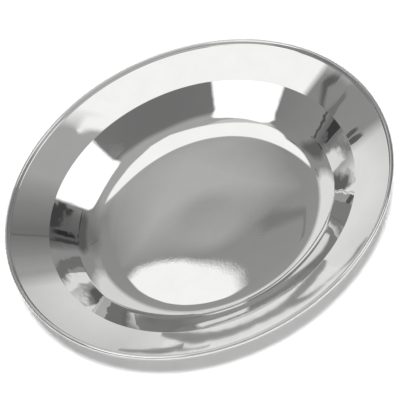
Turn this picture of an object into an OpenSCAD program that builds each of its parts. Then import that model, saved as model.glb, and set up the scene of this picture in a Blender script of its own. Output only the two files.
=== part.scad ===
// Deep plate, pressed from one stainless steel sheet, with its edge rolled over a wire.
// Millimetres. The origin is the centre of the disc that the plate stands on, +Z is up.

/* [Plate] */
// Outside diameter, over the rolled edge
plate_d = 240; // [220:1:300]
// Thickness of the pressed sheet
sheet_t = 0.5; // [0.4:0.05:0.7]

/* [Well] */
// Diameter of the flat disc that the plate stands on
stand_d = 30; // [20:1:60]
// Slope of the floor where the corner begins, in degrees
floor_angle = 6.5; // [4:0.5:10]
// Radius of the corner between floor and wall, on the upper face
corner_r = 44; // [36:1:60]
// Slope of the wall, in degrees
wall_angle = 34; // [30:0.5:45]
// Straight length of the wall, along its slope
wall_len = 17.9; // [12:0.1:22]
// Diameter of the well's mouth, where the wall ends
well_d = 190; // [175:1:205]

/* [Rim] */
// Slope of the rim, in degrees
rim_angle = 22; // [14:0.5:26]
// Radius of the bend between wall and rim, on the upper face
bend_r = 1.2; // [0.8:0.1:3]

/* [Rolled edge] */
// Radius of the neck that lifts the roll above the rim, on the upper face
neck_r = 1.5; // [1:0.1:2.5]
// Turn of the neck, up from the rim's slope, in degrees
neck_turn = 58; // [45:1:65]
// Outside diameter of the roll
roll_d = 2.6; // [2.2:0.1:3.6]
// Gap between the sheet's cut edge and the underside of the neck
roll_gap = 0.15; // [0.1:0.05:0.3]
// Clearance between the wire and the inside of the roll
wire_clearance = 0.05; // [0.02:0.01:0.1]

/* [Hidden] */
$fn = 180;
sheet_colour = [0.80, 0.81, 0.82];
wire_colour = [0.66, 0.67, 0.68];

// Arcs are drawn as chords that stray less than this from the true curve
chord_error = 0.004;
// and that turn no more than this, in degrees
chord_turn = 6;

// The floor's wide curve closes what is left between the standing disc and the corner
floor_r = (well_d / 2 - wall_len * cos(wall_angle)
    - corner_r * (sin(wall_angle) - sin(floor_angle)) - stand_d / 2) / sin(floor_angle);

// The rim is as long as it takes for the roll to reach the outside diameter
roll_r = roll_d / 2;
neck_angle = rim_angle + neck_turn;
bend_reach = bend_r * (sin(wall_angle) - sin(rim_angle));
edge_reach = neck_r * (sin(neck_angle) - sin(rim_angle)) + roll_r * sin(neck_angle) + roll_r;
rim_len = (plate_d / 2 - well_d / 2 - bend_reach - edge_reach) / cos(rim_angle);

// The roll turns until its cut edge comes near the underside of the neck
neck_to_roll = neck_r + roll_r;
neck_clear = neck_r + sheet_t + roll_gap;
roll_open = acos((neck_to_roll ^ 2 + roll_r ^ 2 - neck_clear ^ 2) / (2 * neck_to_roll * roll_r));
roll_turn = 360 - roll_open;

// The sheet's upper face, from the centre out to the cut edge, as [radius, height, slope].
// A positive radius curves up, a negative one curves down.
function last(path) = path[len(path) - 1];
function chords(r, turn) =
    ceil(max(abs(turn) / chord_turn, abs(turn) / (2 * acos(1 - chord_error / abs(r)))));
function straight(from, length) =
    [[from[0] + length * cos(from[2]), from[1] + length * sin(from[2]), from[2]]];
function arc(from, r, slope) =
    let (n = chords(r, slope - from[2]))
    [for (i = [1 : n])
        let (a = from[2] + (slope - from[2]) * i / n)
        [from[0] + r * (sin(a) - sin(from[2])), from[1] - r * (cos(a) - cos(from[2])), a]];

centre = [[0, sheet_t, 0]];
disc = straight(last(centre), stand_d / 2);
floor_curve = arc(last(disc), floor_r, floor_angle);
corner = arc(last(floor_curve), corner_r, wall_angle);
wall = straight(last(corner), wall_len);
bend = arc(last(wall), -bend_r, rim_angle);
rim = straight(last(bend), rim_len);
neck = arc(last(rim), neck_r, neck_angle);
roll = arc(last(neck), -roll_r, neck_angle - roll_turn);
upper_face = concat(centre, disc, floor_curve, corner, wall, bend, rim, neck, roll);
roll_centre = [last(neck)[0] + roll_r * sin(neck_angle), last(neck)[1] - roll_r * cos(neck_angle)];

// A face of the sheet, so far below the upper face, square to it
function face(depth) = [for (p = upper_face) [p[0] + depth * sin(p[2]), p[1] - depth * cos(p[2])]];
function backwards(path) = [for (i = [len(path) - 1 : -1 : 0]) path[i]];

// The pressed sheet: one section of even thickness, turned about the axis
module plate() {
    color(sheet_colour)
        rotate_extrude()
            polygon(concat(face(0), backwards(face(sheet_t))));
}

// The wire that the edge is rolled over, a closed ring
module rim_wire() {
    color(wire_colour)
        rotate_extrude()
            translate(roll_centre)
                circle(r = roll_r - sheet_t - wire_clearance);
}

plate();
rim_wire();
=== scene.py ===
"""Deep plate, pressed from one stainless steel sheet, with its edge rolled over a wire.

Geometry Nodes turn the sheet from the path that its section follows, and the wire keeps its solid. A
white studio floor, its lamp and the panels that the steel mirrors stand round them. Lengths are in
metres and angles in radians, except where a comment says otherwise.
"""
import math
from collections import namedtuple

import bmesh
import bpy
from bpy.props import FloatProperty, FloatVectorProperty, IntProperty, PointerProperty
from mathutils import Matrix, Vector
from mathutils.geometry import tessellate_polygon


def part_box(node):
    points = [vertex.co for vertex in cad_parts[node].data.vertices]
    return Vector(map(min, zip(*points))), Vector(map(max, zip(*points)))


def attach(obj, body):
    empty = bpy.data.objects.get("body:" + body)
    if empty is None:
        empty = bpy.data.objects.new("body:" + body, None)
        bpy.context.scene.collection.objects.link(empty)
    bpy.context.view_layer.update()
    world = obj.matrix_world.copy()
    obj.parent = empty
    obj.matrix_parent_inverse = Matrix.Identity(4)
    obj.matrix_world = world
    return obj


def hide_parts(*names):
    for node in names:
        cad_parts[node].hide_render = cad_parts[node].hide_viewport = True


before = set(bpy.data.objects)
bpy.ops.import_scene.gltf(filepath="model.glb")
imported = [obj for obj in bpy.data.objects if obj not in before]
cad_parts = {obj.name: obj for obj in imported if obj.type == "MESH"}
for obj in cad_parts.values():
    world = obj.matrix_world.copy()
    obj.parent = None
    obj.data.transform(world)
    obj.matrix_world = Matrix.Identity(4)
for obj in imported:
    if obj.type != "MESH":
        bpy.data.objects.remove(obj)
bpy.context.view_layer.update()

bl_info = {
    "name": "Pressed steel plate",
    "version": (1, 0, 0),
    "blender": (4, 5, 0),
    "location": "View3D > Sidebar > Plate",
    "description": "Builds a deep plate of pressed stainless steel and its studio stage",
    "category": "Add Mesh",
}

MM = 0.001
PLATE_LOW, PLATE_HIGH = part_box("plate")
# The sheet is turned this much smaller than its solid, so that its finer chords stay inside it
INSET = 0.02 * MM
# Points of the turned sheet that lie closer than this become one, and edges sharper than this stay hard
SAME_POINT = 0.0001 * MM
HARD_ANGLE = math.radians(40)
RIPPLE_SEED = 7

# Radii between which the peel fades at the floor's edge, and the waves rise and fade at the wall's
PEEL_FADES = (50 * MM, 64 * MM)
WAVE_RISES = (68 * MM, 80 * MM)
WAVE_FADES = (94 * MM, 96 * MM)

# The floor lies a little below the plate, so that no face of one lies in a face of the other
FLOOR_SIDE = 20.0
FLOOR_GAP = 0.1 * MM

# The photograph's frame, in pixels, and what the plate measures in it
IMAGE_SIDE = 400
RIM_CENTRE_X = 195.4
RIM_CENTRE_Y = 190.5
PLATE_RADIUS_PX = 202.4

# The camera's sensor, in millimetres, and how near and far it sees
SENSOR_WIDTH = 36.0
NEAREST_SEEN = 0.01
FARTHEST_SEEN = 100.0

# Stretches of the sheet's path from its centre to its cut edge, with the chords that each is drawn in
# and their spacing: straight stretches have close loops at their ends, so that shading stays flat there
Stretch = namedtuple("Stretch", "name chords spacing")
STRETCHES = (
    Stretch("Disc", 3, "LINEAR"),
    Stretch("Floor", 16, "LINEAR"),
    Stretch("Corner", 26, "LINEAR"),
    Stretch("Wall", 10, "SMOOTHERSTEP"),
    Stretch("Bend", 4, "LINEAR"),
    Stretch("Rim", 12, "SMOOTHERSTEP"),
    Stretch("Neck", 10, "LINEAR"),
    Stretch("Roll", 36, "LINEAR"),
)

# Studio panels round the plate, from the farthest to the nearest: the brightness of each, where 1 is
# white, the width of its soft edge, and its corners as azimuth and elevation, in degrees. White cards
# stand low beside the plate, softboxes hang above it, and dark flags make its dark reflections.
# They were fitted to the reflections in the photograph. The bars and the cord follow those nearly
# point by point, as directions traced back over the plate.
Panel = namedtuple("Panel", "name level soft corners")
PANELS = (
    # Rear wall and ceiling
    Panel("rear_wall", 0.55, 4, ((105, -8), (105, 57), (180, 60), (-105, 57), (-105, -8), (180, -8))),
    Panel("ceiling", 0.45, 7, (
        (-60, 52), (-30, 54), (-12, 50), (0, 47), (12, 50), (30, 56), (45, 53), (60, 52), (90, 56),
        (120, 62), (150, 70), (180, 73), (-150, 70), (-120, 62), (-90, 56))),
    # Low white cards, which the near rim mirrors
    Panel("low_left_card", 0.89, 4.5, (
        (-2, -8), (-3, 9), (-7, 15.5), (-12, 21.5), (-17, 27.5), (-22, 32.5), (-27.5, 37), (-36, 31),
        (-38, 23), (-37, 15), (-34, 8), (-32, -8))),
    Panel("right_card_fringe", 0.40, 4, ((22, 30), (29, 42), (33, 43), (39, 37), (37, 28))),
    Panel("low_right_card", 0.81, 5, (
        (2, -8), (3, 9), (7, 15.5), (12, 21.5), (17, 27.5), (22, 33), (28, 38.5), (36.5, 31.5),
        (38, 23), (37, 15), (34, 8), (32, -8))),
    Panel("low_middle_card", 0.92, 5.5, (
        (-14, -8), (-12, 18.5), (-7, 16.5), (0, 16), (7, 16.5), (12, 18.5), (14, -8))),
    # Dark bars in front of the low cards, with many corners, because the near rim enlarges them
    Panel("crossbar", 0.30, 0.03, (
        (-9.2, 11.8), (-7.5, 10.6), (-6, 9.7), (-4.9, 9.1), (-3.7, 8.6), (-2.6, 8.25), (-1.3, 7.95),
        (0, 7.85), (1.3, 7.95), (2.6, 8.25), (4, 8.75), (5.2, 9.3), (6.3, 9.9), (7.7, 10.8), (9.4, 12),
        (9, 12.1), (8.3, 11.65), (7.1, 10.85), (6.1, 10.3), (5.2, 9.85), (3.9, 9.1), (2.6, 8.6),
        (1.3, 8.25), (0, 8.1), (-1.3, 8.25), (-2.6, 8.6), (-3.9, 9), (-5.3, 9.7), (-6.8, 10.6),
        (-8, 11.45), (-8.9, 12))),
    Panel("left_wing_bar", 0.30, 0.03, (
        (-2.6, 8.4), (-3.9, 9), (-4.4, 9.35), (-5.8, 10.3), (-8, 12.1), (-10.5, 14.4), (-11.7, 15.7),
        (-11.7, 15.9), (-8, 12.2), (-6.6, 10.95), (-5.2, 10.05), (-3.6, 9.1), (-2.6, 8.6))),
    Panel("right_wing_bar", 0.30, 0.03, (
        (6.1, 10.3), (6.4, 10.55), (7.2, 11.25), (8.7, 12.55), (10.5, 14.35), (11.8, 15.7),
        (11.8, 15.85), (9.5, 13.6), (8, 12.3), (6.5, 11), (5.1, 10.05), (3.8, 9.3), (3.6, 9.1),
        (5.2, 10), (6, 10.45))),
    # Low flags and wings on both sides
    Panel("low_left_flag", 0.14, 0.6, (
        (-24, -8), (-25, 4), (-26.8, 7), (-29.4, 9.2), (-32.3, 11.4), (-35.2, 13.3), (-38, 12.5),
        (-48, 8), (-48, -8))),
    Panel("low_right_flag", 0.12, 0.6, (
        (24, -8), (25.5, 5), (26.1, 6.3), (28.8, 8.5), (31.6, 10.8), (35, 13.2), (37, 13.4), (48, 8),
        (48, -8))),
    Panel("left_wing", 0.86, 0.4, (
        (-35.3, 12.8), (-36, 14.7), (-37.3, 15.9), (-41, 18.9), (-44.7, 21.1), (-47, 20.5), (-40, 13))),
    Panel("left_wing_edge", 0.24, 0.3, (
        (-37, 15.7), (-41.2, 18.9), (-44.8, 21.1), (-47.2, 23), (-46.4, 23.4), (-41.9, 20),
        (-37, 16.6))),
    Panel("right_wing", 0.86, 0.3, (
        (31.5, 11.4), (33.6, 12.4), (35.6, 13.6), (38, 14.5), (41.5, 17.6), (40.4, 18.4), (37.2, 16),
        (34.8, 14.3), (32.5, 12.9))),
    Panel("right_wing_edge", 0.19, 0.2, (
        (36.3, 15.3), (38.7, 17), (41.9, 19.2), (46, 21.4), (49, 23.6), (48, 24.3), (45.1, 22.5),
        (40.8, 19.6), (36.6, 16.1))),
    # A lighter patch of ceiling and a shade, round the front lamp
    Panel("ceiling_patch", 0.52, 4, (
        (-9, 46), (-9, 52), (-7, 57), (-3, 59.5), (3, 59.5), (7, 57), (9, 52), (9, 46))),
    Panel("lamp_shade", 0.24, 0.8, (
        (-11, 32), (-10, 38), (-8.5, 43), (-4, 46.5), (-1, 46.8), (-2, 44.5), (-6, 42.5), (-8, 38),
        (-8.5, 32))),
    # Drapes, flags and stands
    Panel("right_drape", 0.20, 7, (
        (26, 48), (33, 54), (45, 53.5), (57, 51.5), (68, 47), (75, 38), (67, 24), (54, 23), (48, 30),
        (41, 36), (33, 41))),
    Panel("right_flag", 0.12, 4, (
        (43.5, 37), (45.5, 29), (51, 25.5), (59, 26.5), (72, 38.5), (72, 45), (60, 48))),
    Panel("first_fold", 0.06, 0.3, ((54, 28), (55.9, 29.2), (56.4, 31.2), (54, 29.8))),
    Panel("second_fold", 0.03, 0.3, (
        (56.9, 30.3), (59, 31.7), (60.6, 33.1), (59.6, 33.6), (57.9, 32.4))),
    Panel("third_fold", 0.06, 0.3, (
        (59.6, 33.6), (61.9, 34.5), (67, 37.7), (71.3, 40), (73.5, 42.3), (66, 39))),
    Panel("right_stand", 0.16, 0.3, ((36, 47.2), (44, 40.6), (44.6, 41.2), (36.6, 48))),
    Panel("left_flag", 0.14, 4, (
        (-38, 45), (-36, 36), (-39, 27), (-44, 21), (-52, 21), (-56, 28), (-53, 35), (-50, 42),
        (-44, 46))),
    Panel("left_stand", 0.09, 0.2, ((-53, 27), (-54, 27.8), (-55.8, 30.7), (-54.5, 30.3))),
    Panel("left_block", 0.05, 0.2, (
        (-49.8, 25.5), (-47.6, 23.5), (-46.2, 23.4), (-46.4, 24.4), (-50.6, 27.4), (-50.8, 26.2))),
    # Slats, a cable and a cord
    Panel("first_slat", 0.12, 0.1, (
        (-32.3, 36), (-31.2, 34.9), (-30.9, 35.7), (-31.5, 36.4), (-32.1, 36.6))),
    Panel("second_slat", 0.12, 0.1, (
        (-31, 34.5), (-29.7, 33.2), (-29.2, 33.4), (-29.2, 34), (-30, 34.8), (-30.7, 35))),
    Panel("left_cable", 0.13, 0.35, (
        (-40.2, 45), (-42, 46.5), (-43, 48.6), (-43.7, 50.2), (-42.9, 50.2), (-41.2, 49.2),
        (-39.8, 47.8), (-40.6, 47.3), (-41.6, 48), (-41, 46.6))),
    Panel("left_cord", 0.20, 0.2, (
        (-37.9, 42.2), (-37.3, 42.1), (-37.6, 43.1), (-37.2, 43.4), (-37.5, 44), (-38.2, 44.9),
        (-38.7, 44.3), (-39.9, 44.5))),
    # Lamps, and the gap between two of them
    Panel("left_gap", 0.67, 2, (
        (-58, 53), (-66, 53), (-73, 60), (-84, 66), (-90, 72), (-80, 78), (-70, 78), (-62, 64))),
    Panel("overhead_softbox", 1.13, 1.5, (
        (-28.5, 40), (-26.8, 44.5), (-26, 47), (-23.5, 51.5), (-21, 55.2), (-18, 59), (-13.5, 62),
        (-7, 63.8), (0, 64.5), (10, 64.5), (20, 63.8), (30, 62.5), (38, 61), (46, 58.8), (49.5, 61.5),
        (52.5, 65.5), (55, 69), (58, 71.3), (60.5, 72.6), (63, 75), (67, 77.5), (79, 80.5), (95, 82.5),
        (180, 87), (-90, 84), (-76, 77), (-70, 70), (-67, 64), (-63, 58), (-60, 55.5), (-55, 52.8),
        (-49.5, 51.2), (-43.4, 50.8), (-41, 48.3), (-38.6, 45.5), (-36, 43.2), (-31.5, 40.4))),
    Panel("overhead_lip", 1.13, 0.3, (
        (58.8, 75.5), (58.9, 72.2), (59.3, 71.3), (60.1, 71.9), (61.4, 73.7), (63.5, 75.5), (67, 78),
        (66, 80), (61, 79))),
    Panel("left_softbox", 1.4, 1.5, (
        (-79, 44), (-71, 49), (-65.5, 54.5), (-65, 58.5), (-68.5, 61), (-75, 63.5), (-86, 68),
        (-96, 71.5), (-106, 72.5), (-115, 70.5), (-122, 66), (-126, 60), (-118, 45), (-100, 38),
        (-85, 40))),
    Panel("right_softbox", 1.4, 1.5, (
        (75, 40.5), (67, 47.5), (63, 52), (63, 54.5), (66, 58), (74, 62.5), (83, 65.5), (93, 68),
        (102, 68), (109, 65), (114, 61), (118, 52), (108, 42), (90, 38))),
    Panel("front_lamp", 1.13, 0.8, (
        (-0.7, 37.5), (0, 33), (1.2, 30.3), (4.1, 29.5), (6.8, 30), (8.9, 32.5), (10.4, 36.8),
        (10.7, 40), (8.8, 44.4), (6.4, 46.4), (4, 46.8), (1, 46.6), (0.4, 45.6), (-0.3, 43.7),
        (-0.9, 41))),
)
# The farthest panel's distance, the step from each panel to the next, and the cuts that bend a panel
PANEL_DISTANCE = 4.0
PANEL_SPACING = 0.02
PANEL_CUTS = 7
# A soft edge widens at a corner by no more than one over this
MITRE_LIMIT = 0.5
# Outlines are filled at this scale, which is large enough for thin bars
FILL_SCALE = 1000


def linear(hex_colour):
    """An sRGB hex colour as linear red, green and blue."""
    channels = [int(hex_colour[i:i + 2], 16) / 255 for i in (1, 3, 5)]
    return [c / 12.92 if c <= 0.04045 else ((c + 0.055) / 1.055) ** 2.4 for c in channels]


def length(name, description, size):
    """A length that the user can change."""
    return FloatProperty(name=name, description=description, default=size, min=0.0,
                         precision=5, subtype="DISTANCE", unit="LENGTH")


def angle(name, description, degrees):
    """An angle that the user can change."""
    return FloatProperty(name=name, description=description, default=math.radians(degrees),
                         subtype="ANGLE", unit="ROTATION")


def colour(name, description, hex_colour):
    """A colour that the user can change."""
    return FloatVectorProperty(name=name, description=description, default=linear(hex_colour),
                               min=0.0, max=1.0, size=3, subtype="COLOR")


def share(name, description, value):
    """A number from 0 to 1 that the user can change."""
    return FloatProperty(name=name, description=description, default=value, min=0.0, max=1.0,
                         subtype="FACTOR")


class PlateSizes(bpy.types.PropertyGroup):
    """Sizes of the pressed sheet, measured on its upper face."""

    plate_diameter: length("Plate diameter", "Outside diameter, over the rolled edge",
                           min(PLATE_HIGH.x - PLATE_LOW.x, PLATE_HIGH.y - PLATE_LOW.y) - INSET)
    sheet_thickness: length("Sheet thickness", "Thickness of the pressed sheet", 0.5 * MM)
    stand_diameter: length("Standing disc", "Flat disc that the plate stands on", 30 * MM)
    floor_angle: angle("Floor angle", "Slope of the floor where the corner begins", 6.5)
    corner_radius: length("Corner radius", "Curve between floor and wall", 44 * MM)
    wall_angle: angle("Wall angle", "Slope of the wall", 34)
    wall_length: length("Wall length", "Straight length of the wall, along its slope", 17.9 * MM)
    well_diameter: length("Well diameter", "Mouth of the well, where the wall ends", 190 * MM)
    bend_radius: length("Bend radius", "Curve between wall and rim", 1.2 * MM)
    rim_angle: angle("Rim angle", "Slope of the rim", 22)
    neck_radius: length("Neck radius", "Curve that lifts the roll above the rim", 1.5 * MM)
    neck_turn: angle("Neck turn", "Turn of the neck, up from the rim's slope", 58)
    roll_diameter: length("Roll diameter", "Outside diameter of the roll", 2.6 * MM)
    roll_gap: length("Roll gap", "Gap between the cut edge and the neck's underside", 0.15 * MM)
    ripple_height: length("Ripple height", "How far the pressed sheet strays", 0.02 * MM)
    ripple_size: length("Ripple size", "Width of one ripple in the pressed sheet", 30 * MM)
    segments: IntProperty(name="Segments", description="Steps round the plate", default=360, min=24)


class PlateFinish(bpy.types.PropertyGroup):
    """Colours and polish of the two steels."""

    sheet_colour: colour("Sheet colour", "Reflected colour of the buffed sheet", "#EAEAE9")
    sheet_roughness: share("Sheet roughness", "How much the buffed sheet blurs its reflections", 0.02)
    haze_colour: colour("Haze colour", "Reflected colour where handling dulled the sheet", "#E2E2E1")
    haze_roughness: share("Haze roughness", "How much the haze blurs its reflections", 0.028)
    haze_size: length("Haze size", "Width of one patch of haze", 14 * MM)
    ring_roughness: share("Ring roughness", "How much buffing rings differ from each other", 0.008)
    ring_width: length("Ring width", "Width of one buffing ring", 0.8 * MM)
    peel_size: length("Peel size", "Width of one dimple left by pressing", 1.6 * MM)
    peel_depth: length("Peel depth", "Depth of one dimple left by pressing", 0.004 * MM)
    wave_size: length("Wave size", "Width of one soft wave on the wall", 9 * MM)
    wave_depth: length("Wave depth", "Depth of one soft wave on the wall", 0.03 * MM)
    wire_colour: colour("Wire colour", "Reflected colour of the drawn wire", "#A9A9A8")
    wire_roughness: share("Wire roughness", "How much the drawn wire blurs its reflections", 0.35)
    score_colour: colour("Score colour", "Reflected colour of the scores along the wire", "#8C8C8B")
    score_roughness: share("Score roughness", "How much duller than the wire its scores are", 0.2)
    score_width: length("Score width", "Width of one score along the wire", 0.08 * MM)


class StageSettings(bpy.types.PropertyGroup):
    """Camera, floor and lamps."""

    camera_distance: length("Camera distance", "From the middle of the rim to the camera", 1.2)
    camera_elevation: angle("Camera elevation", "Height of the camera above the rim", 47.65)
    camera_roll: angle("Camera roll", "Turn of the camera about its line of sight", -24.54)
    floor_colour: colour("Floor colour", "Colour of the studio floor", "#F4F4F4")
    floor_glow: share("Floor glow", "Part of the floor's white that shadows don't reach", 0.12)
    lamp_level: FloatProperty(name="Lamp level", description="Brightness of all panels together",
                              default=1.0, min=0.0)
    key_strength: FloatProperty(name="Key strength", description="Strength of the floor's lamp",
                                default=2.7, min=0.0)
    key_spread: angle("Key spread", "Width of the lamp that lights the floor, as the floor sees it", 7)
    key_azimuth: angle("Key azimuth", "Side on which the lamp that lights the floor hangs", 170)
    key_elevation: angle("Key elevation", "Height of the lamp that lights the floor", 65)
    room_ahead: share("Room ahead", "Brightness of the room beyond the plate", 0.36)
    room_behind: share("Room behind", "Brightness of the room behind the camera", 0.12)


def add(tree, kind, inputs=(), **settings):
    """Adds a node: settings are its own values, inputs are values to set or sockets to link.

    Inputs come by name in a dictionary, or in order in a tuple.
    """
    node = tree.nodes.new(kind)
    for key, value in settings.items():
        setattr(node, key, value)
    for key, value in inputs.items() if isinstance(inputs, dict) else enumerate(inputs):
        if isinstance(value, bpy.types.NodeSocket):
            tree.links.new(value, node.inputs[key])
        else:
            node.inputs[key].default_value = value
    return node


def sheet_path(sizes):
    """Length and turn of each stretch of the sheet's upper face, from its centre to its cut edge."""
    thickness = sizes.sheet_thickness
    well_r = sizes.well_diameter / 2
    stand_r = sizes.stand_diameter / 2
    corner_turn = sizes.wall_angle - sizes.floor_angle
    corner_reach = sizes.corner_radius * (math.sin(sizes.wall_angle) - math.sin(sizes.floor_angle))
    floor_reach = well_r - sizes.wall_length * math.cos(sizes.wall_angle) - corner_reach - stand_r
    floor_radius = floor_reach / math.sin(sizes.floor_angle)

    bend_turn = sizes.rim_angle - sizes.wall_angle
    neck_angle = sizes.rim_angle + sizes.neck_turn
    roll_r = sizes.roll_diameter / 2
    bend_reach = sizes.bend_radius * (math.sin(sizes.wall_angle) - math.sin(sizes.rim_angle))
    neck_reach = sizes.neck_radius * (math.sin(neck_angle) - math.sin(sizes.rim_angle))
    edge_reach = neck_reach + roll_r * math.sin(neck_angle) + roll_r
    rim_reach = sizes.plate_diameter / 2 - well_r - bend_reach - edge_reach

    # The roll closes until its cut edge comes near the underside of the neck
    neck_to_roll = sizes.neck_radius + roll_r
    neck_clear = sizes.neck_radius + thickness + sizes.roll_gap
    cosine = (neck_to_roll ** 2 + roll_r ** 2 - neck_clear ** 2) / (2 * neck_to_roll * roll_r)
    roll_turn = 2 * math.pi - math.acos(cosine)
    return {
        "Disc": (stand_r, 0.0),
        "Floor": (floor_radius * sizes.floor_angle, sizes.floor_angle),
        "Corner": (sizes.corner_radius * corner_turn, corner_turn),
        "Wall": (sizes.wall_length, 0.0),
        "Bend": (-sizes.bend_radius * bend_turn, bend_turn),
        "Rim": (rim_reach / math.cos(sizes.rim_angle), 0.0),
        "Neck": (sizes.neck_radius * sizes.neck_turn, sizes.neck_turn),
        "Roll": (roll_r * roll_turn, -roll_turn),
    }


def pressed_sheet_tree():
    """Geometry Nodes that walk the sheet's path, turn it about the axis and give it its thickness."""
    tree = bpy.data.node_groups.new("Pressed sheet", "GeometryNodeTree")
    tree.is_modifier = True
    tree.interface.new_socket("Sheet", in_out="OUTPUT", socket_type="NodeSocketGeometry")
    named = ["Sheet Thickness", "Ripple Height", "Ripple Size", "Ripple Start", "Ripple End"]
    for stretch in STRETCHES:
        named += [stretch.name + " Length", stretch.name + " Turn"]
    for name in named:
        tree.interface.new_socket(name, in_out="INPUT", socket_type="NodeSocketFloat")
    for name in ("Segments", "Ripple Seed"):
        tree.interface.new_socket(name, in_out="INPUT", socket_type="NodeSocketInt")
    tree.interface.new_socket("Finish", in_out="INPUT", socket_type="NodeSocketMaterial")
    inputs = add(tree, "NodeGroupInput").outputs

    # Length walked and slope reached at each point of the path
    count = 1 + sum(stretch.chords for stretch in STRETCHES)
    path = add(tree, "GeometryNodeMeshLine", {"Count": count}).outputs["Mesh"]
    index = add(tree, "GeometryNodeInputIndex").outputs["Index"]
    walked = 0.0
    slope = 0.0
    first = 0
    for stretch in STRETCHES:
        span = {"Value": index, "From Min": first, "From Max": first + stretch.chords}
        run = add(tree, "ShaderNodeMapRange", {**span, "To Max": inputs[stretch.name + " Length"]},
                  interpolation_type=stretch.spacing)
        turn = add(tree, "ShaderNodeMapRange", {**span, "To Max": inputs[stretch.name + " Turn"]})
        walked = add(tree, "ShaderNodeMath", (walked, run.outputs["Result"]), operation="ADD").outputs[0]
        slope = add(tree, "ShaderNodeMath", (slope, turn.outputs["Result"]), operation="ADD").outputs[0]
        first += stretch.chords

    # Each chord points along the slope at its middle, and the chords add up to the upper face
    before = add(tree, "ShaderNodeMath", (index, 1), operation="SUBTRACT").outputs[0]
    walked_before = add(tree, "GeometryNodeFieldAtIndex", {"Value": walked, "Index": before})
    slope_before = add(tree, "GeometryNodeFieldAtIndex", {"Value": slope, "Index": before})
    chord = add(tree, "ShaderNodeMath", (walked, walked_before.outputs["Value"]), operation="SUBTRACT")
    heading = add(tree, "ShaderNodeMix",
                  {"Factor": 0.5, "A": slope, "B": slope_before.outputs["Value"]})
    level = add(tree, "ShaderNodeCombineXYZ", {"X": chord.outputs[0]})
    step = add(tree, "ShaderNodeVectorRotate",
               {"Vector": level.outputs[0], "Angle": heading.outputs["Result"]},
               rotation_type="Y_AXIS", invert=True)
    steps = add(tree, "GeometryNodeAccumulateField", {"Value": step.outputs["Vector"]},
                data_type="FLOAT_VECTOR")
    lift = add(tree, "ShaderNodeCombineXYZ", {"Z": inputs["Sheet Thickness"]}).outputs["Vector"]
    upper = add(tree, "ShaderNodeVectorMath", (steps.outputs["Leading"], lift),
                operation="ADD").outputs["Vector"]

    # The lower face lies one sheet thickness below, square to the slope
    square = add(tree, "ShaderNodeVectorRotate", {"Vector": lift, "Angle": slope},
                 rotation_type="Y_AXIS", invert=True)
    lower = add(tree, "ShaderNodeVectorMath", (upper, square.outputs["Vector"]),
                operation="SUBTRACT").outputs["Vector"]

    # A grid holds the section's rows, out on the upper face and back on the lower, and the segments
    rows = 2 * count
    around = add(tree, "ShaderNodeMath", (inputs["Segments"], 1), operation="ADD")
    grid = add(tree, "GeometryNodeMeshGrid",
               {"Size X": rows - 1, "Size Y": 2 * math.pi,
                "Vertices X": rows, "Vertices Y": around.outputs[0]})
    place = add(tree, "GeometryNodeInputPosition").outputs["Position"]
    across = add(tree, "ShaderNodeSeparateXYZ", {"Vector": place})
    from_edge = add(tree, "ShaderNodeMath", (across.outputs["X"],), operation="ABSOLUTE")
    from_centre = add(tree, "ShaderNodeMath", ((rows - 1) / 2, from_edge.outputs[0]),
                      operation="SUBTRACT")
    point = add(tree, "ShaderNodeMath", (from_centre.outputs[0],), operation="ROUND").outputs[0]
    on_upper = add(tree, "ShaderNodeMath", (across.outputs["X"], 0.0), operation="LESS_THAN")
    faces = [add(tree, "GeometryNodeSampleIndex", {"Geometry": path, "Value": face, "Index": point},
                 data_type="FLOAT_VECTOR").outputs["Value"] for face in (lower, upper)]
    section = add(tree, "GeometryNodeSwitch",
                  {"Switch": on_upper.outputs[0], "False": faces[0], "True": faces[1]},
                  input_type="VECTOR")
    turned = add(tree, "ShaderNodeVectorRotate",
                 {"Vector": section.outputs["Output"], "Angle": across.outputs["Y"]},
                 rotation_type="Z_AXIS").outputs["Vector"]

    # A soft ripple, as pressing leaves it, lifts both faces alike between standing disc and rim
    flat = add(tree, "ShaderNodeVectorMath", (turned, (1.0, 1.0, 0.0)), operation="MULTIPLY")
    radius = add(tree, "ShaderNodeVectorMath", (flat.outputs["Vector"],), operation="LENGTH")
    scale = add(tree, "ShaderNodeMath", (1.0, inputs["Ripple Size"]), operation="DIVIDE")
    noise = add(tree, "ShaderNodeTexNoise",
                {"Vector": flat.outputs["Vector"], "W": inputs["Ripple Seed"],
                 "Scale": scale.outputs[0], "Detail": 0.0}, noise_dimensions="4D")
    swing = add(tree, "ShaderNodeMapRange",
                {"Value": noise.outputs[0], "To Min": -1.0, "To Max": 1.0})
    risen = add(tree, "ShaderNodeMath", (inputs["Ripple Start"], inputs["Ripple Size"]),
                operation="ADD")
    rise = add(tree, "ShaderNodeMapRange",
               {"Value": radius.outputs["Value"], "From Min": inputs["Ripple Start"],
                "From Max": risen.outputs[0], "To Max": inputs["Ripple Height"]},
               interpolation_type="SMOOTHSTEP")
    sinking = add(tree, "ShaderNodeMath", (inputs["Ripple End"], inputs["Ripple Size"]),
                  operation="SUBTRACT")
    sink = add(tree, "ShaderNodeMapRange",
               {"Value": radius.outputs["Value"], "From Min": sinking.outputs[0],
                "From Max": inputs["Ripple End"], "To Min": rise.outputs["Result"], "To Max": 0.0},
               interpolation_type="SMOOTHSTEP")
    height = add(tree, "ShaderNodeMath", (swing.outputs["Result"], sink.outputs["Result"]),
                 operation="MULTIPLY")
    ripple = add(tree, "ShaderNodeCombineXYZ", {"Z": height.outputs[0]})
    pressed = add(tree, "ShaderNodeVectorMath", (turned, ripple.outputs["Vector"]), operation="ADD")
    shaped = add(tree, "GeometryNodeSetPosition",
                 {"Geometry": grid.outputs["Mesh"], "Position": pressed.outputs["Vector"]})

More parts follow.
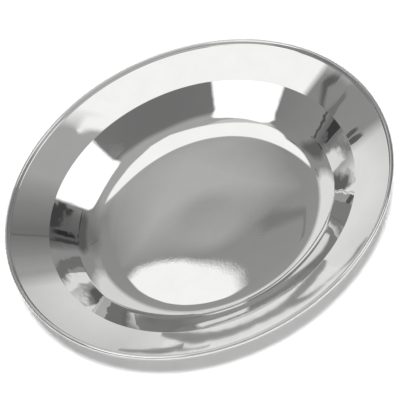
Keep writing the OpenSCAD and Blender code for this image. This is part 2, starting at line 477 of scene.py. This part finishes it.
    # The seam and the two poles close, and only the cut edge keeps hard corners
    closed = add(tree, "GeometryNodeMergeByDistance",
                 {"Geometry": shaped.outputs["Geometry"], "Distance": SAME_POINT})
    smooth = add(tree, "GeometryNodeSetShadeSmooth", {"Geometry": closed.outputs["Geometry"]})
    edge_angle = add(tree, "GeometryNodeInputMeshEdgeAngle").outputs["Unsigned Angle"]
    hard = add(tree, "ShaderNodeMath", (edge_angle, HARD_ANGLE), operation="GREATER_THAN")
    creased = add(tree, "GeometryNodeSetShadeSmooth",
                  {"Geometry": smooth.outputs["Geometry"], "Selection": hard.outputs[0],
                   "Shade Smooth": False},
                  domain="EDGE")
    real = add(tree, "GeometryNodeRealizeInstances", {"Geometry": creased.outputs["Geometry"]})
    finished = add(tree, "GeometryNodeSetMaterial",
                   {"Geometry": real.outputs["Geometry"], "Material": inputs["Finish"]})
    add(tree, "NodeGroupOutput", {"Sheet": finished.outputs["Geometry"]})
    return tree


def made_by_nodes(name, tree, values):
    """A plain mesh object at the origin, made by a tree with these input values."""
    piece = bpy.data.objects.new(name, bpy.data.meshes.new(name))
    bpy.context.scene.collection.objects.link(piece)
    modifier = piece.modifiers.new(tree.name, "NODES")
    modifier.node_group = tree
    for socket in tree.interface.items_tree:
        if socket.in_out == "INPUT":
            modifier[socket.identifier] = values[socket.name]
    evaluated = piece.evaluated_get(bpy.context.evaluated_depsgraph_get())
    mesh = bpy.data.meshes.new_from_object(evaluated)
    # The grid that the nodes start from brings an empty slot, in front of the material's own
    if mesh.materials[0] is None:
        mesh.materials.pop(index=0)
    piece.modifiers.remove(modifier)
    piece.data = mesh
    return piece


def buffed_sheet_finish(finish):
    """Stainless steel sheet, bright rolled, pressed and buffed.

    It mirrors its surroundings sharply. Pressing leaves a fine orange peel that frays the edges of
    reflections on the floor, buffing leaves faint rings of duller steel, and handling leaves a haze
    in soft patches.
    """
    material = bpy.data.materials.new("Stainless steel, pressed and buffed")
    material.use_nodes = True
    tree = material.node_tree
    shader = tree.nodes["Principled BSDF"]
    shader.inputs["Metallic"].default_value = 1.0
    place = add(tree, "ShaderNodeTexCoord").outputs["Object"]
    flat = add(tree, "ShaderNodeVectorMath", (place, (1.0, 1.0, 0.0)), operation="MULTIPLY")
    radius = add(tree, "ShaderNodeVectorMath", (flat.outputs["Vector"],), operation="LENGTH")

    # Patches of haze, somewhat narrower than the rim
    haze = add(tree, "ShaderNodeTexNoise",
               {"Vector": place, "Scale": 1 / finish.haze_size, "Detail": 3.0, "Distortion": 0.6})
    dull = add(tree, "ShaderNodeMapRange",
               {"Value": haze.outputs[0], "From Min": 0.4, "From Max": 0.75,
                "To Min": finish.sheet_roughness, "To Max": finish.haze_roughness})
    tone = add(tree, "ShaderNodeMix",
               {"Factor": haze.outputs[0], "A": (*finish.sheet_colour, 1.0),
                "B": (*finish.haze_colour, 1.0)}, data_type="RGBA")
    tree.links.new(tone.outputs["Result"], shader.inputs["Base Color"])

    # Buffing rings, drawn a pixel or two wide, since real ones are too fine to show
    ring = add(tree, "ShaderNodeTexNoise",
               {"W": radius.outputs["Value"], "Scale": 1 / finish.ring_width, "Detail": 2.0},
               noise_dimensions="1D")
    ringed = add(tree, "ShaderNodeMapRange",
                 {"Value": ring.outputs[0], "From Min": 0.3, "From Max": 0.7,
                  "To Min": -finish.ring_roughness, "To Max": finish.ring_roughness})
    rough = add(tree, "ShaderNodeMath", (dull.outputs["Result"], ringed.outputs["Result"]),
                operation="ADD", use_clamp=True)
    tree.links.new(rough.outputs[0], shader.inputs["Roughness"])

    # Orange peel, on the floor only: the corner and beyond are drawn smooth over the tool
    on_floor = add(tree, "ShaderNodeMapRange",
                   {"Value": radius.outputs["Value"], "From Min": PEEL_FADES[0],
                    "From Max": PEEL_FADES[1], "To Min": 1.0, "To Max": 0.0})
    peel = add(tree, "ShaderNodeTexNoise",
               {"Vector": place, "Scale": 1 / finish.peel_size, "Detail": 1.0})
    bump = add(tree, "ShaderNodeBump",
               {"Height": peel.outputs[0], "Distance": finish.peel_depth,
                "Strength": on_floor.outputs["Result"]})

    # Soft waves, from the corner to the top of the wall, where the sheet was drawn down over the die
    below = add(tree, "ShaderNodeMapRange",
                {"Value": radius.outputs["Value"], "From Min": WAVE_RISES[0], "From Max": WAVE_RISES[1]})
    on_wall = add(tree, "ShaderNodeMapRange",
                  {"Value": radius.outputs["Value"], "From Min": WAVE_FADES[0],
                   "From Max": WAVE_FADES[1], "To Min": below.outputs["Result"], "To Max": 0.0})
    wave = add(tree, "ShaderNodeTexNoise",
               {"Vector": place, "Scale": 1 / finish.wave_size, "Detail": 1.5})
    waved = add(tree, "ShaderNodeBump",
                {"Height": wave.outputs[0], "Distance": finish.wave_depth,
                 "Strength": on_wall.outputs["Result"], "Normal": bump.outputs["Normal"]})
    tree.links.new(waved.outputs["Normal"], shader.inputs["Normal"])
    return material


def drawn_wire_finish(finish):
    """Steel wire, drawn through a die. It is dull grey, with fine scores along its length."""
    material = bpy.data.materials.new("Steel wire, drawn")
    material.use_nodes = True
    tree = material.node_tree
    shader = tree.nodes["Principled BSDF"]
    shader.inputs["Metallic"].default_value = 1.0
    place = add(tree, "ShaderNodeTexCoord").outputs["Object"]
    flat = add(tree, "ShaderNodeVectorMath", (place, (1.0, 1.0, 0.0)), operation="MULTIPLY")
    radius = add(tree, "ShaderNodeVectorMath", (flat.outputs["Vector"],), operation="LENGTH")
    score = add(tree, "ShaderNodeTexNoise",
                {"W": radius.outputs["Value"], "Scale": 1 / finish.score_width, "Detail": 2.0},
                noise_dimensions="1D")
    tone = add(tree, "ShaderNodeMix",
               {"Factor": score.outputs[0], "A": (*finish.wire_colour, 1.0),
                "B": (*finish.score_colour, 1.0)}, data_type="RGBA")
    tree.links.new(tone.outputs["Result"], shader.inputs["Base Color"])
    rough = add(tree, "ShaderNodeMapRange",
                {"Value": score.outputs[0], "To Min": finish.wire_roughness,
                 "To Max": finish.wire_roughness + finish.score_roughness})
    tree.links.new(rough.outputs["Result"], shader.inputs["Roughness"])
    return material


class PLATE_OT_press_sheet(bpy.types.Operator):
    """Press the sheet: turn the plate from its path and give it its buffed finish"""

    bl_idname = "plate.press_sheet"
    bl_label = "Press the sheet"

    def execute(self, context):
        sizes = context.scene.plate_sizes
        values = {
            "Sheet Thickness": sizes.sheet_thickness,
            "Ripple Height": sizes.ripple_height,
            "Ripple Size": sizes.ripple_size,
            "Ripple Start": sizes.stand_diameter / 2,
            "Ripple End": sizes.well_diameter / 2,
            "Ripple Seed": RIPPLE_SEED,
            "Segments": sizes.segments,
            "Finish": buffed_sheet_finish(context.scene.plate_finish),
        }
        for name, (run, turn) in sheet_path(sizes).items():
            values[name + " Length"] = run
            values[name + " Turn"] = turn
        sheet = made_by_nodes("pressed_sheet", pressed_sheet_tree(), values)
        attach(sheet, "root")
        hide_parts("plate")
        return {"FINISHED"}


class PLATE_OT_draw_wire(bpy.types.Operator):
    """Draw the wire: give the wire inside the rolled edge its finish"""

    bl_idname = "plate.draw_wire"
    bl_label = "Draw the wire"

    def execute(self, context):
        finish = drawn_wire_finish(context.scene.plate_finish)
        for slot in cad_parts["rim_wire"].material_slots:
            slot.material = finish
        return {"FINISHED"}


def studio_floor(stage):
    """Matt white floor. A part of its white is a glow, which only camera and reflections see."""
    half = FLOOR_SIDE / 2
    mesh = bpy.data.meshes.new("studio_floor")
    corners = [(-half, -half, 0.0), (half, -half, 0.0), (half, half, 0.0), (-half, half, 0.0)]
    mesh.from_pydata(corners, [], [(0, 1, 2, 3)])
    floor = bpy.data.objects.new("studio_floor", mesh)
    floor.location.z = PLATE_LOW.z - FLOOR_GAP
    bpy.context.scene.collection.objects.link(floor)
    material = bpy.data.materials.new("Studio floor, matt white")
    material.use_nodes = True
    tree = material.node_tree
    tree.nodes.clear()
    paths = add(tree, "ShaderNodeLightPath").outputs
    seen = add(tree, "ShaderNodeMath", (paths["Is Camera Ray"], paths["Is Glossy Ray"]),
               operation="MAXIMUM")
    seen = add(tree, "ShaderNodeMath", (seen.outputs[0], paths["Is Transmission Ray"]),
               operation="MAXIMUM")
    glow = add(tree, "ShaderNodeMath", (seen.outputs[0], stage.floor_glow), operation="MULTIPLY")
    matt = add(tree, "ShaderNodeBsdfDiffuse", {"Color": (*stage.floor_colour, 1.0)})
    white = add(tree, "ShaderNodeEmission", {"Color": (1.0, 1.0, 1.0, 1.0), "Strength": glow.outputs[0]})
    both = add(tree, "ShaderNodeAddShader", (matt.outputs[0], white.outputs[0]))
    add(tree, "ShaderNodeOutputMaterial", {"Surface": both.outputs[0]})
    mesh.materials.append(material)


def towards(azimuth, elevation):
    """Direction from the plate, with the azimuth counted from +Y to +X."""
    flat = math.cos(elevation)
    return Vector((flat * math.sin(azimuth), flat * math.cos(azimuth), math.sin(elevation)))


def panel_finish(stage):
    """Lit cloth or card, which fades out towards the edge of its panel."""
    material = bpy.data.materials.new("Studio panel, lit cloth")
    material.use_nodes = True
    tree = material.node_tree
    tree.nodes.clear()
    cover = add(tree, "ShaderNodeAttribute", attribute_name="cover").outputs["Fac"]
    glow = add(tree, "ShaderNodeAttribute", attribute_name="glow").outputs["Fac"]
    strength = add(tree, "ShaderNodeMath", (glow, stage.lamp_level), operation="MULTIPLY")
    clear = add(tree, "ShaderNodeBsdfTransparent")
    lit = add(tree, "ShaderNodeEmission", {"Strength": strength.outputs[0]})
    faded = add(tree, "ShaderNodeMixShader", (cover, clear.outputs[0], lit.outputs[0]))
    add(tree, "ShaderNodeOutputMaterial", {"Surface": faded.outputs[0]})
    return material


def panel_edges(panel):
    """Directions of a panel's corners: where it ends, and farther in, where it is full."""
    outer = [towards(math.radians(azimuth), math.radians(elevation))
             for azimuth, elevation in panel.corners]
    after = outer[1:] + outer[:1]
    turn = sum((corner.cross(following) for corner, following in zip(outer, after)), Vector())
    side = math.copysign(1.0, turn.dot(sum(outer, Vector())))
    inward = [side * corner.cross(following - corner).normalized()
              for corner, following in zip(outer, after)]
    inner = []
    for corner, left, right in zip(outer, inward[-1:] + inward[:-1], inward):
        between = (left + right).normalized()
        inset = math.tan(math.radians(panel.soft)) / max(between.dot(right), MITRE_LIMIT)
        inner.append((corner + inset * between).normalized())
    return outer, inner


def panel_mesh(panel, distance):
    """A panel on a ball of this radius, with its cover and its glow as attributes."""
    outer, inner = panel_edges(panel)
    count = len(outer)
    soft_edge = [(i, (i + 1) % count, count + (i + 1) % count, count + i) for i in range(count)]
    # The inside is filled as it looks from the plate, where even a thin bent bar lies flat
    view = sum(outer, Vector()).to_track_quat("Z", "Y").to_matrix().transposed()
    seen = [view @ corner for corner in inner]
    flat = [FILL_SCALE * Vector((corner.x, corner.y, 0.0)) / (1 + corner.z) for corner in seen]
    inside = [tuple(count + i for i in face) for face in tessellate_polygon([flat])]
    mesh = bpy.data.meshes.new(panel.name)
    mesh.from_pydata([distance * corner for corner in outer + inner], [], soft_edge + inside)
    attributes = {"cover": [0.0] * count + [1.0] * count, "glow": [panel.level] * 2 * count}
    for name, values in attributes.items():
        mesh.attributes.new(name, "FLOAT", "POINT").data.foreach_set("value", values)
    # Cut finer and blown out to the ball, so that no panel comes through one in front of it
    ball = bmesh.new()
    ball.from_mesh(mesh)
    bmesh.ops.subdivide_edges(ball, edges=ball.edges, cuts=PANEL_CUTS, use_grid_fill=True)
    for corner in ball.verts:
        corner.co = distance * corner.co.normalized()
    ball.to_mesh(mesh)
    ball.free()
    return mesh


def studio_panels(stage):
    """Panels round the plate, each a little nearer than the one before. Only reflections see them."""
    finish = panel_finish(stage)
    for index, panel in enumerate(PANELS):
        mesh = panel_mesh(panel, PANEL_DISTANCE - index * PANEL_SPACING)
        mesh.materials.append(finish)
        card = bpy.data.objects.new(panel.name, mesh)
        card.visible_camera = False
        card.visible_diffuse = False
        card.visible_shadow = False
        bpy.context.scene.collection.objects.link(card)


def key_lamp(stage):
    """Soft far lamp, which lights the floor evenly. The steel doesn't mirror it."""
    light = bpy.data.lights.new("key_lamp", "SUN")
    light.energy = stage.key_strength
    light.angle = stage.key_spread
    lamp = bpy.data.objects.new("key_lamp", light)
    out = towards(stage.key_azimuth, stage.key_elevation)
    lamp.matrix_world = out.to_track_quat("Z", "Y").to_matrix().to_4x4()
    lamp.visible_glossy = False
    bpy.context.scene.collection.objects.link(lamp)


def studio_room(stage):
    """Grey room round the plate, lighter ahead of it than behind."""
    world = bpy.data.worlds.new("studio_room")
    world.use_nodes = True
    tree = world.node_tree
    direction = add(tree, "ShaderNodeTexCoord").outputs["Generated"]
    ahead = add(tree, "ShaderNodeSeparateXYZ", {"Vector": direction}).outputs["Y"]
    strength = add(tree, "ShaderNodeMapRange",
                   {"Value": ahead, "From Min": -1.0, "From Max": 1.0,
                    "To Min": stage.room_behind, "To Max": stage.room_ahead})
    tree.links.new(strength.outputs["Result"], tree.nodes["Background"].inputs["Strength"])
    tree.nodes["Background"].inputs["Color"].default_value = (1.0, 1.0, 1.0, 1.0)
    bpy.context.scene.world = world


def studio_camera(stage, sizes):
    """Camera at the photograph's angle, with the plate where the photograph has it."""
    plate_r = sizes.plate_diameter / 2
    per_pixel = plate_r / PLATE_RADIUS_PX
    rim_centre = Vector((0.0, 0.0, PLATE_HIGH.z - sizes.roll_diameter / 2))
    back = towards(math.pi, stage.camera_elevation)
    right = Vector((1.0, 0.0, 0.0))
    up = back.cross(right)
    roll = stage.camera_roll
    right, up = (math.cos(roll) * right + math.sin(roll) * up,
                 math.cos(roll) * up - math.sin(roll) * right)
    middle = IMAGE_SIDE / 2
    eye = rim_centre + back * stage.camera_distance
    eye += right * (middle - RIM_CENTRE_X) * per_pixel - up * (middle - RIM_CENTRE_Y) * per_pixel
    lens = bpy.data.cameras.new("studio_camera")
    lens.sensor_width = SENSOR_WIDTH
    lens.lens = lens.sensor_width * stage.camera_distance / (per_pixel * IMAGE_SIDE)
    lens.clip_start = NEAREST_SEEN
    lens.clip_end = FARTHEST_SEEN
    camera = bpy.data.objects.new("studio_camera", lens)
    turned = Matrix((right, up, back)).transposed().to_4x4()
    camera.matrix_world = Matrix.Translation(eye) @ turned
    bpy.context.scene.collection.objects.link(camera)
    bpy.context.scene.camera = camera


class PLATE_OT_set_stage(bpy.types.Operator):
    """Set the stage: floor, lamps, room and camera"""

    bl_idname = "plate.set_stage"
    bl_label = "Set the stage"

    def execute(self, context):
        stage = context.scene.plate_stage
        studio_floor(stage)
        studio_panels(stage)
        key_lamp(stage)
        studio_room(stage)
        studio_camera(stage, context.scene.plate_sizes)
        context.scene.view_settings.view_transform = "Standard"
        return {"FINISHED"}


class PLATE_PT_sidebar(bpy.types.Panel):
    """Lists the plate's operators and their settings"""

    bl_idname = "PLATE_PT_sidebar"
    bl_label = "Pressed steel plate"
    bl_space_type = "VIEW_3D"
    bl_region_type = "UI"
    bl_category = "Plate"

    def draw(self, context):
        for operator in OPERATORS:
            self.layout.operator(operator.bl_idname)
        for name in GROUPS:
            column = self.layout.column(align=True)
            settings = getattr(context.scene, name)
            for key in settings.bl_rna.properties.keys():
                if key not in ("rna_type", "name"):
                    column.prop(settings, key)


GROUPS = {"plate_sizes": PlateSizes, "plate_finish": PlateFinish, "plate_stage": StageSettings}
OPERATORS = (PLATE_OT_press_sheet, PLATE_OT_draw_wire, PLATE_OT_set_stage)
CLASSES = (*GROUPS.values(), *OPERATORS, PLATE_PT_sidebar)


def register():
    for cls in CLASSES:
        bpy.utils.register_class(cls)
    for name, group in GROUPS.items():
        setattr(bpy.types.Scene, name, PointerProperty(type=group))


def unregister():
    for name in GROUPS:
        delattr(bpy.types.Scene, name)
    for cls in reversed(CLASSES):
        bpy.utils.unregister_class(cls)


def main():
    register()
    bpy.ops.plate.press_sheet()
    bpy.ops.plate.draw_wire()
    bpy.ops.plate.set_stage()


if __name__ == "__main__":
    main()
